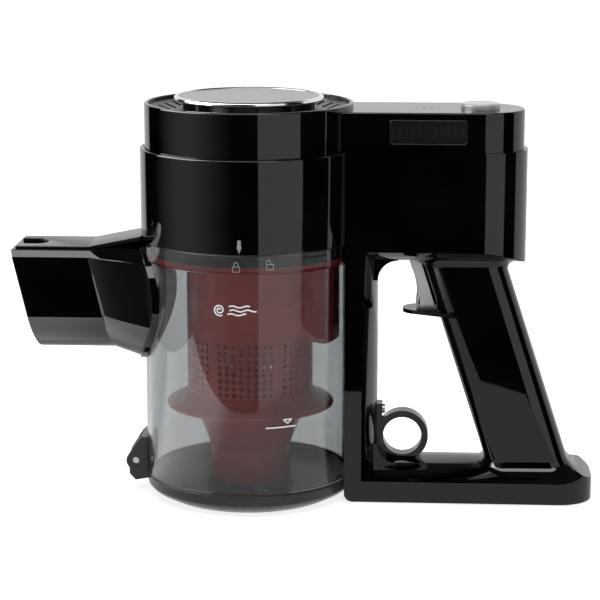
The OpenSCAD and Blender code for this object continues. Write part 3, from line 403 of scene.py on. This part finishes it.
# Each corner (a, b, radius) gives way to an arc that starts radius times tan(half the turn) before it.
def rounded(corners, closed=True, pieces=6):
    points = []
    count = len(corners)
    for i, (a, b, radius) in enumerate(corners):
        here = np.array([a, b], float)
        if radius <= 0 or (not closed and i in (0, count - 1)):
            points.append(here)
            continue
        before = np.array(corners[i - 1][:2], float) - here
        after = np.array(corners[(i + 1) % count][:2], float) - here
        toBefore, toAfter = before / np.linalg.norm(before), after / np.linalg.norm(after)
        half = math.acos(max(-1.0, min(1.0, float(toBefore @ toAfter)))) / 2
        middle = toBefore + toAfter
        middle /= np.linalg.norm(middle)
        centre = here + middle * radius / math.sin(half)
        reach = radius / math.tan(half)
        start, end = here + toBefore * reach - centre, here + toAfter * reach - centre
        sweep = math.atan2(start[0] * end[1] - start[1] * end[0], float(start @ end))
        turns = np.linspace(0, sweep, pieces + 1)
        c, s = np.cos(turns), np.sin(turns)
        points.extend(centre + np.stack([start[0] * c - start[1] * s, start[0] * s + start[1] * c], -1))
    return np.array(points)


# A profile of radius r and height h turned about Z: x = r cos a, y = r sin a, z = h.
def turned(name, profile, steps=160, at=(0, 0), smooth=32):
    angle = np.linspace(0, 2 * math.pi, steps, endpoint=False)
    radius, height = profile[:, 0][:, None], profile[:, 1][:, None]
    x, y = at[0] + radius * np.cos(angle), at[1] + radius * np.sin(angle)
    return gridMesh(name, np.stack([x, y, height + 0 * angle], -1), closeRows=True, smooth=smooth)


# A flat outline given thickness, its two rims rounded: at turn t the outline shrinks by edge (1 - cos t).
def plate(name, outline, low, high, edge, plane="XY", steps=4, smooth=32):
    ahead = np.roll(outline, -1, 0) - np.roll(outline, 1, 0)
    ahead /= np.linalg.norm(ahead, axis=1)[:, None]
    area = np.sum(outline[:, 0] * np.roll(outline[:, 1], -1) - outline[:, 1] * np.roll(outline[:, 0], -1))
    outward = np.stack([ahead[:, 1], -ahead[:, 0]], -1) * np.sign(area)
    turn = np.linspace(0, math.pi / 2, steps + 1)
    shrink = np.concatenate([edge * (1 - np.sin(turn)), (edge * (1 - np.sin(turn)))[::-1]])
    depth = np.concatenate([low + edge * (1 - np.cos(turn)), (high - edge * (1 - np.cos(turn)))[::-1]])
    flat = outline[None] - outward[None] * shrink[:, None, None]
    third = np.broadcast_to(depth[:, None], flat.shape[:2])
    order = {"XY": (flat[..., 0], flat[..., 1], third), "XZ": (flat[..., 0], third, flat[..., 1])}[plane]
    return gridMesh(name, np.stack(order, -1), caps=True, smooth=smooth)


# Every CAD node gets the finish of its slot.
slotOf = {part["node"]: part["material_slot"] for part in frame["record"]["subparts"]}
for name, node in cadNodes.items():
    node.data.materials.clear()
    node.data.materials.append(finishes[slotOf[name]])
print("finishes given to", len(cadNodes), "nodes")

makeCamera(cameraLook)


# A copy of a CAD node: flat stretches are joined, and pick gives each convex edge's share of the rounding.
def softened(node, width, pick, smooth=28, segments=3):
    mesh = cadNodes[node].data.copy()
    work = bmesh.new()
    work.from_mesh(mesh)
    bmesh.ops.remove_doubles(work, verts=work.verts, dist=2e-6)
    bmesh.ops.dissolve_limit(work, angle_limit=math.radians(0.5), verts=work.verts, edges=work.edges)
    share = work.edges.layers.float.new("bevel_weight_edge")
    for edge in work.edges:
        if len(edge.link_faces) == 2 and edge.is_convex and edge.calc_face_angle() > math.radians(smooth):
            middle = (edge.verts[0].co + edge.verts[1].co) / (2 * mm)
            edge[share] = pick(middle.x, abs(middle.y), middle.z)
    work.to_mesh(mesh)
    work.free()
    if "custom_normal" in mesh.attributes:
        mesh.attributes.remove(mesh.attributes["custom_normal"])
    mesh.shade_smooth()
    mesh.set_sharp_from_angle(angle=math.radians(smooth))
    piece = addPiece(node + "_soft", mesh, slotOf[node], nodeBody[node], [node])
    rounding = piece.modifiers.new("roundedEdges", "BEVEL")
    rounding.width, rounding.segments, rounding.limit_method = width * mm, segments, "WEIGHT"
    rounding.harden_normals, rounding.use_clamp_overlap = True, True


# Whether a place lies on the outside of a bar that ends at x = end with rounded corners in plan.
def onBarEnd(x, y, end, half, corner):
    inX, inY = x - (end - corner), y - (half - corner)
    return y > half - 0.4 or x > end - 0.4 or (min(inX, inY) > 0 and math.hypot(inX, inY) > corner - 0.5)


# Shares of the rounding for the two shells: box top, foot, box, and then only the long outer edges.
def framePick(x, y, z):
    if z > 210:
        return 0.4 * onBarEnd(x, y, 165.1, 29, 28)
    if z < 16:
        return 1.0 * onBarEnd(x, y, 207.1, 29, 21)
    if z > 140 and x > 137:
        return 1.0 * onBarEnd(x, y, 165.1, 29, 28)
    return 1.0 * (y > 28.6)


def coverPick(x, y, z):
    return 1.0 * (z > 234.9 and onBarEnd(x, y, 163, 27.5, 26.5))


def everyEdge(x, y, z):
    return 1.0


softWidths = {
    "frame_front_shell": (1.3, framePick), "frame_rear_shell": (1.3, framePick),
    "box_cover": (0.9, coverPick),
    "trigger_guard": (1.0, everyEdge), "hanging_ring": (0.9, everyEdge), "hinge_bracket": (0.6, everyEdge),
    "inlet_flange": (0.5, everyEdge), "door_pan": (0.5, everyEdge), "door_latch": (0.3, everyEdge),
}
for node, (width, pick) in softWidths.items():
    softened(node, width, pick)
print("edges rounded on", len(softWidths), "pieces")

# Turned pieces: each corner of the section is radius, height and fillet in millimetres.
turnedLooks = {
    "barrel": {"finish": "gloss_black", "replaces": "barrel_housing", "steps": 240, "corners": [
        (34, 156.5, 0), (65, 156.5, 0.8), (65, 211.5, 0.9), (62.9, 211.5, 0.15), (62.9, 210.9, 0),
        (62.2, 210.9, 0), (62.2, 238, 0.9), (59.7, 238, 0.5), (59.7, 209, 0), (62.5, 209, 0),
        (62.5, 159, 0), (34, 159, 0)]},
    "cap_plate": {"finish": "brushed_silver", "replaces": "cap_disc", "steps": 200, "corners": [
        (0, 240.2, 0), (41.68, 240.2, 0), (41.68, 241.35, 0.3), (40.9, 241.2, 0.3), (40.2, 241.45, 0.3),
        (0, 241.3, 0)]},
    "cap_ring": {"finish": "chrome", "replaces": "cap_rim", "steps": 200, "corners": [
        (41.7, 239, 0), (43.7, 239, 0.6), (44.5, 239.9, 0.6), (44.3, 241.3, 0.8), (43.2, 242, 0.7),
        (42.2, 242, 0.4), (41.7, 241.5, 0)]},
    "power_key": {"finish": "silver_paint", "replaces": "power_button", "steps": 120, "at": (136.8, 0),
                  "corners": [
        (0, 218, 0), (2.4, 218, 0), (2.4, 230.4, 0), (13, 230.4, 0), (13, 232.4, 0), (11.5, 232.4, 0),
        (11.5, 238.3, 1.4), (9.4, 238.1, 3), (0, 237.6, 0)]},
    "cyclone_skirt": {"finish": "cyclone_red", "replaces": "cyclone_cone", "steps": 180, "corners": [
        (32, 64.98, 0), (38.4, 64.98, 0.3), (40.4, 61.4, 6), (48.6, 57.9, 4), (50.5, 56.6, 0.7),
        (50.5, 55, 0.4), (48.5, 55, 0.6), (32.4, 51.4, 2), (30, 45, 8), (24.5, 30.02, 0),
        (22.5, 30.02, 0), (28, 45.4, 0), (31, 59, 0)]},
    "dust_pipe": {"finish": "cyclone_red", "replaces": "dust_tube", "steps": 140, "corners": [
        (22, 7.3, 0), (24, 7.3, 0.4), (24, 30, 0.5), (22, 30, 0.3)]},
    "door_tray": {"finish": "door_grey", "replaces": "door_liner", "steps": 180, "corners": [
        (0, 4.6, 0), (50, 4.6, 0), (60.4, 10.4, 0.5), (60.4, 12.6, 0.5), (58.4, 12.8, 0.5),
        (51, 7, 2.5), (26.8, 7, 0), (26.8, 10.5, 0.5), (25, 10.5, 0.5), (25, 7, 0), (0, 7, 0)]},
}
for name, look in turnedLooks.items():
    mesh = turned(name, rounded(look["corners"]), look["steps"], at=look.get("at", (0, 0)))
    node = look["replaces"]
    addPiece(name, mesh, look["finish"], nodeBody[node], [node])
print("turned pieces:", len(turnedLooks))

triggerLook = {
    "corners": [
        (100.2, 116.2, 1.2), (100.0, 120, 14), (100.6, 124.5, 14), (100.3, 130.5, 24), (99.1, 136, 30),
        (97.0, 141, 30), (95.6, 146, 6), (97.6, 160, 1), (108.5, 161, 1), (110.0, 144, 8), (112.0, 130, 20),
        (113.7, 116.2, 1.2)],
    "half": 9, "edge": 2.2,
}
finger = plate("finger_trigger", rounded(triggerLook["corners"]), -triggerLook["half"], triggerLook["half"],
               triggerLook["edge"], "XZ", steps=6)
addPiece("finger_trigger", finger, "silver_paint", "trigger", ["trigger"])

# The nozzle: a D-shaped tube, flat on top, that opens into a circle on the bin's rim along straight lines.
# Each row stands at x = start + lean * (top - z). The bell's point at share s is (1 - s) tube + s circle.
nozzleLook = {
    "mouth": -141.0, "bell": -95.5, "lean": 0.2309, "top": 151.1, "middle": 112.7, "half": 24.0,
    "wall": 2.4,
    "chamferTop": 21.5, "chamferSide": 147.0, "bellMiddle": 120.3, "bellRadius": 36.5, "rim": 66.6,
    "topAngle": 29.0, "sideAngle": 49.0, "slot": (-137.0, -123.0), "slotHalf": 7.0, "bellSteps": 28,
    "bulge": 2.6,
}


# The D outline from the slot's edge round to its other edge: corners are rounded in place, point by point.
def nozzleOutline(look, inset):
    half, top = look["half"] - inset, look["top"] - inset
    reach = inset * 0.4
    right = [(look["slotHalf"], top, 0), (look["chamferTop"] - reach, top, 0.8),
             (half, look["chamferSide"] - reach, 0.8)]
    side = rounded(right + [(half, look["middle"], 0)], closed=False, pieces=8)
    turn = np.linspace(0, math.pi, 61)[1:-1]
    under = np.stack([half * np.cos(turn), look["middle"] - half * np.sin(turn)], -1)
    return np.concatenate([side, under, side[::-1] * [-1, 1]])


# The same points round the bell's circle: top, chamfer and side keep their shares of its length.
def bellOutline(look, inset):
    flat = nozzleOutline(look, inset)
    length = np.concatenate([[0], np.cumsum(np.linalg.norm(np.diff(flat, axis=0), axis=1))])
    radius = look["bellRadius"] - inset
    top = look["chamferTop"] - look["slotHalf"]
    turns = [look["slotHalf"] / radius, math.radians(look["topAngle"]), math.radians(look["sideAngle"]),
             math.pi]
    places = np.interp(np.minimum(length, length[-1] - length), [0, top, top + 4.8, length[-1] / 2], turns)
    angle = np.where(length <= length[-1] / 2, places, 2 * math.pi - places)
    y, z = radius * np.sin(angle), look["bellMiddle"] + radius * np.cos(angle)
    return np.stack([-np.sqrt(look["rim"] ** 2 - y**2), y, z], -1)


# Rows of the tube, then of the bell, whose sides swell by bulge * sin(pi s^0.6) * 4 d (1 - d) at depth d.
def nozzleRows(look, inset, starts):
    flat = nozzleOutline(look, inset)
    x = np.array(starts)[:, None] + look["lean"] * (look["top"] - flat[:, 1])
    tube = np.stack([x, np.broadcast_to(flat[:, 0], x.shape), np.broadcast_to(flat[:, 1], x.shape)], -1)
    share = np.linspace(0, 1, look["bellSteps"] + 1)[1:, None, None]
    bell = (1 - share) * tube[-1] + share * bellOutline(look, inset)
    down = np.clip((look["chamferSide"] - flat[:, 1]) / (look["chamferSide"] - look["middle"] + 12), 0, 1)
    swell = look["bulge"] * np.sin(math.pi * share[..., 0] ** 0.6) * 4 * down * (1 - down)
    bell[..., 1] += swell * np.sign(flat[:, 0])
    return np.concatenate([tube, bell])


# The quads over the strip's slot are left out of both skins, and four walls join the two openings.
def makeNozzle(look):
    outer = nozzleRows(look, 0, [look["mouth"] + 0.5, *look["slot"], look["bell"]])
    inner = nozzleRows(look, look["wall"], [look["mouth"] + 0.5, *look["slot"], look["bell"]])
    lipOuter = nozzleRows(look, 0.15, [look["mouth"] + 0.15])[:1]
    lip = nozzleRows(look, 0.5, [look["mouth"]])[:1]
    lipInner = nozzleRows(look, look["wall"] - 0.5, [look["mouth"]])[:1]
    grid = np.concatenate([lip, lipOuter, outer, inner[::-1], lipInner])
    rows, columns = grid.shape[:2]
    faces = gridFaces(rows, columns, True, True)
    last = columns - 1
    outerRow = 3  # lip, lipOuter and the mouth row come before it
    innerRow = len(outer) + len(inner) - 1
    corners = []
    for row in (outerRow, innerRow):
        first = row * columns
        corners.append([first + last, first, first + columns, first + columns + last])
    kept = [face for face in faces.tolist() if set(face) not in (set(corners[0]), set(corners[1]))]
    a, b = corners[0], [corners[1][3], corners[1][2], corners[1][1], corners[1][0]]
    kept += [[a[i], a[(i + 1) % 4], b[(i + 1) % 4], b[i]] for i in range(4)]
    mesh = bpy.data.meshes.new("inlet_nozzle")
    mesh.from_pydata((grid.reshape(-1, 3) * mm).tolist(), [], kept)
    addPiece("inlet_nozzle", finishMesh(mesh, 9), "gloss_black", "bin", ["nozzle"])


makeNozzle(nozzleLook)

# The raised strip on the nozzle: a forked plate, then a ramp that climbs with the bell to the bin's rim.
stripLook = {
    "front": -139.0, "fork": -122.0, "half": 18.0, "slotHalf": 8.5, "low": 150.9, "high": 152.6,
    "rise": 5.9, "end": -63.5, "edge": 0.35,
}


# The plate is an outline with a thickness. The ramp is one section carried along x, lifted with the bell.
def makeStrip(look):
    half, inner, bend = look["half"], look["slotHalf"], nozzleLook["bell"]
    front, back = look["front"], look["fork"]
    fork = [(front, inner, 0.4), (back, inner, 6.5), (back, -inner, 6.5), (front, -inner, 0.4),
            (front, -half, 1.0), (bend, -half, 0), (bend, half, 0), (front, half, 1.0)]
    flat = plate("nozzle_fork", rounded(fork, pieces=10), look["low"], look["high"], look["edge"])
    addPiece("nozzle_fork", flat, "satin_black", "bin", ["nozzle_strip"])
    x = np.linspace(bend + 0.01, look["end"], 20)
    climb = look["rise"] * (x - bend) / (-nozzleLook["rim"] - bend)
    edge, under = look["edge"], look["low"] - 0.6
    section = rounded([(-half, under, 0), (half, under, 0), (half, look["high"], edge),
                       (-half, look["high"], edge)])
    shape = (len(x), len(section))
    grid = np.stack([np.broadcast_to(x[:, None], shape), np.broadcast_to(section[:, 0], shape),
                     section[:, 1] + climb[:, None]], -1)
    ramp = gridMesh("nozzle_ramp", grid, caps=True)
    addPiece("nozzle_ramp", ramp, "satin_black", "bin", [])


makeStrip(stripLook)

# Fillets where the grip meets the box and the foot. At distance d out from the grip the surface stands
# R - sqrt(R^2 - (R - d)^2) off the box or the foot, so it leaves both smoothly.
gripLook = {
    "atFoot": 168.1, "footTop": 22.5, "slope": 0.3259, "width": 47.0, "half": 19.0, "corner": 12.0,
    "swell": 51.22, "boxLow": 144.0, "footEnd": 180.1, "endRadius": 46.25, "radius": 5.5, "open": 10.8,
}


def gripFillet(name, look, atBox):
    stretch = math.sqrt(1 + look["slope"] ** 2)
    w, half, corner = look["width"] / 2 * stretch, look["half"], look["corner"]
    corners = [(-w, -half, corner), (w, -half, corner), (w, half, corner), (-w, half, corner)]
    path = rounded(corners, pieces=16)
    if atBox:  # the box's fillet stays open in front, where the trigger is
        path = np.concatenate([[(-w, -look["open"])], path, [(-w, look["open"])]])
    ahead = np.gradient(path, axis=0) if atBox else np.roll(path, -1, 0) - np.roll(path, 1, 0)
    ahead /= np.linalg.norm(ahead, axis=1)[:, None]
    outward = np.stack([ahead[:, 1], -ahead[:, 0]], -1)
    radius = look["radius"]
    away = radius * (1 - np.cos(np.linspace(0, math.pi / 2, 10)))
    off = radius - np.sqrt(np.maximum(0, radius**2 - (radius - away) ** 2))
    away = np.concatenate([away, [radius, -0.8, -0.8]])
    off = np.concatenate([off, [-0.8, -0.8, radius]])
    flat = path[:, None] + outward[:, None] * away[None, :, None]
    side = np.sqrt(look["swell"] ** 2 - flat[..., 1] ** 2)
    height = np.full(flat.shape[:2], look["footTop"])
    for _ in range(4):
        x = look["atFoot"] - (height - look["footTop"]) * look["slope"] + flat[..., 0]
        if atBox:
            height = look["boxLow"] + look["swell"] - side - off
        else:
            past = np.clip(x - look["footEnd"], 0, look["endRadius"])
            fall = look["endRadius"] - np.sqrt(look["endRadius"] ** 2 - past**2)
            height = look["footTop"] - np.maximum(look["swell"] - side, fall) + off
    grid = np.stack([x, flat[..., 1], height], -1)
    mesh = gridMesh(name, grid, closeRows=not atBox, caps=atBox)
    addPiece(name, mesh, "gloss_black", "body")


gripFillet("grip_fillet_box", gripLook, True)
gripFillet("grip_fillet_foot", gripLook, False)
print("nozzle, trigger and fillets made")

# Vents: a thin raised lip round each panel, and a dark sheet behind its slots as painted shade for the dark
# inside of the box.
ventLook = {
    "x": 106.35, "z": 223.6, "width": 44.1, "height": 13.8, "corner": 1.2, "lip": 0.4, "level": 27.5,
    "shadeSheet": (24.2, 25.0),
}


# A rectangle about the panel's middle, half sizes w and h, as an outline with rounded corners.
def ventOutline(look, w, h, corner):
    signs = ((-1, -1), (1, -1), (1, 1), (-1, 1))
    return rounded([(look["x"] + a * w, look["z"] + b * h, corner) for a, b in signs])


# The lip is a round bead carried along the outline.
def makeVent(name, look, side):
    w, h = look["width"] / 2, look["height"] / 2
    frameLine = ventOutline(look, w, h, look["corner"])
    ahead = np.roll(frameLine, -1, 0) - np.roll(frameLine, 1, 0)
    ahead /= np.linalg.norm(ahead, axis=1)[:, None]
    turn = np.linspace(0, 2 * math.pi, 12, endpoint=False)
    out = np.stack([ahead[:, 1], -ahead[:, 0]], -1)[:, None] * (look["lip"] * np.cos(turn))[None, :, None]
    line = frameLine[:, None] + out
    level = side * (look["level"] + look["lip"] * np.sin(turn))
    grid = np.stack([line[..., 0], np.broadcast_to(level, line.shape[:2]), line[..., 1]], -1)
    addPiece("vent_lip_" + name, gridMesh("vent_lip_" + name, grid, closeRows=True), "gloss_black", "body")
    # Painted shade: a near-black plate just inside the wall darkens the slots, standing in for the shade
    # inside the box.
    low, high = sorted(side * level for level in look["shadeSheet"])
    shadeSheet = plate("vent_shade_sheet_" + name, ventOutline(look, w + 0.5, h - 0.6, 0.5), low, high, 0.2, "XZ")
    addPiece("vent_shade_sheet_" + name, shadeSheet, "rubber", "body")


makeVent("front", ventLook, -1)
makeVent("rear", ventLook, 1)
print("vents made")


# A flat stroke along a path of u and v, as rows along the path by the four corners of its section.
def stroke(path, width, closed=False, low=-0.05, high=0.12):
    path = np.array(path, float)
    ahead = np.roll(path, -1, 0) - np.roll(path, 1, 0) if closed else np.gradient(path, axis=0)
    ahead /= np.linalg.norm(ahead, axis=1)[:, None]
    across = np.stack([-ahead[:, 1], ahead[:, 0]], -1) * width / 2
    sides = np.array([-1, 1, 1, -1])
    flat = path[:, None] + across[:, None] * sides[None, :, None]
    lift = np.broadcast_to(np.array([low, low, high, high]), flat.shape[:2])
    return np.stack([flat[..., 0], flat[..., 1], lift], -1)


# Flat u, v and lift are laid round a cylinder: angle = start + u / radius.
def wrap(flat, radius, start, height):
    angle = math.radians(start) + flat[..., 0] / radius
    out = radius + flat[..., 2]
    return np.stack([out * np.cos(angle), out * np.sin(angle), height + flat[..., 1]], -1)


# Strokes are joined into one mesh and wrapped together.
def addStrokes(name, strokes, radius, start, height, finish, body):
    points, faces = [], []
    for path, width, closed in strokes:
        grid = wrap(stroke(path, width, closed), radius, start, height)
        base = sum(len(p) for p in points)
        rows = len(grid)
        part = (gridFaces(rows, 4, closed, True) + base).tolist()
        if not closed:
            part += [[base + i for i in range(4)], [base + (rows - 1) * 4 + i for i in range(4)]]
        faces += part
        points.append(grid.reshape(-1, 3))
    mesh = bpy.data.meshes.new(name)
    mesh.from_pydata((np.concatenate(points) * mm).tolist(), [], faces)
    addPiece(name, finishMesh(mesh, 30), finish, body, [])


# An arc about (u, v) whose radius may grow from the first value to the second on the way.
def arc(u, v, radius, first, last, steps=20):
    turn = np.radians(np.linspace(first, last, steps))
    grow = np.linspace(radius[0], radius[1], steps)
    return np.stack([u + grow * np.cos(turn), v + grow * np.sin(turn)], -1)


# Even points from start to end.
def straight(start, end, steps=12):
    share = np.linspace(0, 1, steps)[:, None]
    return np.array(start) * (1 - share) + np.array(end) * share


markLooks = {"lineWidth": 0.75, "swirlWidth": 0.85, "lockWidth": 0.4}


def makeMarks(look):
    width = look["lineWidth"]
    pointer = np.concatenate([straight((-2.4, 3.2), (2.4, 3.2)), straight((2.3, 3.0), (0.1, 0.9))[:-1],
                              straight((-0.1, 0.9), (-2.3, 3.0))[:-1]])
    addStrokes("fill_line", [(straight((-9.1, -0.15), (9.1, 0.15), 24), width, False),
                             (pointer + [4.0, 1.2], width, True)], 63, -68.9, 54.5, "mark_white", "bin")
    wide = look["swirlWidth"]
    swirl = arc(-9.2, 0, (0.5, 3.5), 0, 660, 60)
    gusts = []
    for low, first, last in ((2.1, -3.6, 8.5), (-0.2, -3.2, 12.5), (-2.5, -4.4, 6.5)):
        u = np.linspace(first, last, 30)
        gusts.append((np.stack([u, low + 0.5 * np.sin((u - first) * 0.75)], -1), wide, False))
    addStrokes("swirl_mark", [(swirl, wide, False)] + gusts, 63, -93.1, 124.6, "mark_white", "bin")
    for name, start, height, tilt in (("lock_mark", -92.3, 149.0, 0), ("unlock_mark", -74.8, 150.2, 1.0)):
        body = rounded([(-2, -1.8, 0.5), (2, -1.8, 0.5), (2, 1.3, 0.5), (-2, 1.3, 0.5)])
        bow = arc(-tilt, 2.6, (1.2, 1.2), 180, 0, 14)
        shackle = np.concatenate([[(-1.2 - tilt, 1.4)], bow, [(1.2 - tilt, 1.4)]])
        strokes = [(body, look["lockWidth"], True), (shackle, look["lockWidth"], False)]
        addStrokes(name, strokes, 64, start, height, "mark_grey", "bin")
    arrow = [(straight((0, 1.2), (0, 5.4)), 2.0, False), (straight((0, -2.4), (0, 1.2)), 0.3, False),
             (straight((-1.5, 1.1), (1.5, 1.1)), 0.9, False),
             (straight((-1.0, 0.2), (1.0, 0.2)), 1.0, False),
             (straight((-0.55, -0.8), (0.55, -0.8)), 1.1, False)]
    addStrokes("align_mark", arrow, 65, -90.6, 160.4, "mark_grey", "body")


makeMarks(markLooks)
print("marks made")

makeAir(airLook)
makeLamps(lampLook)
makeFloor(floorLook)
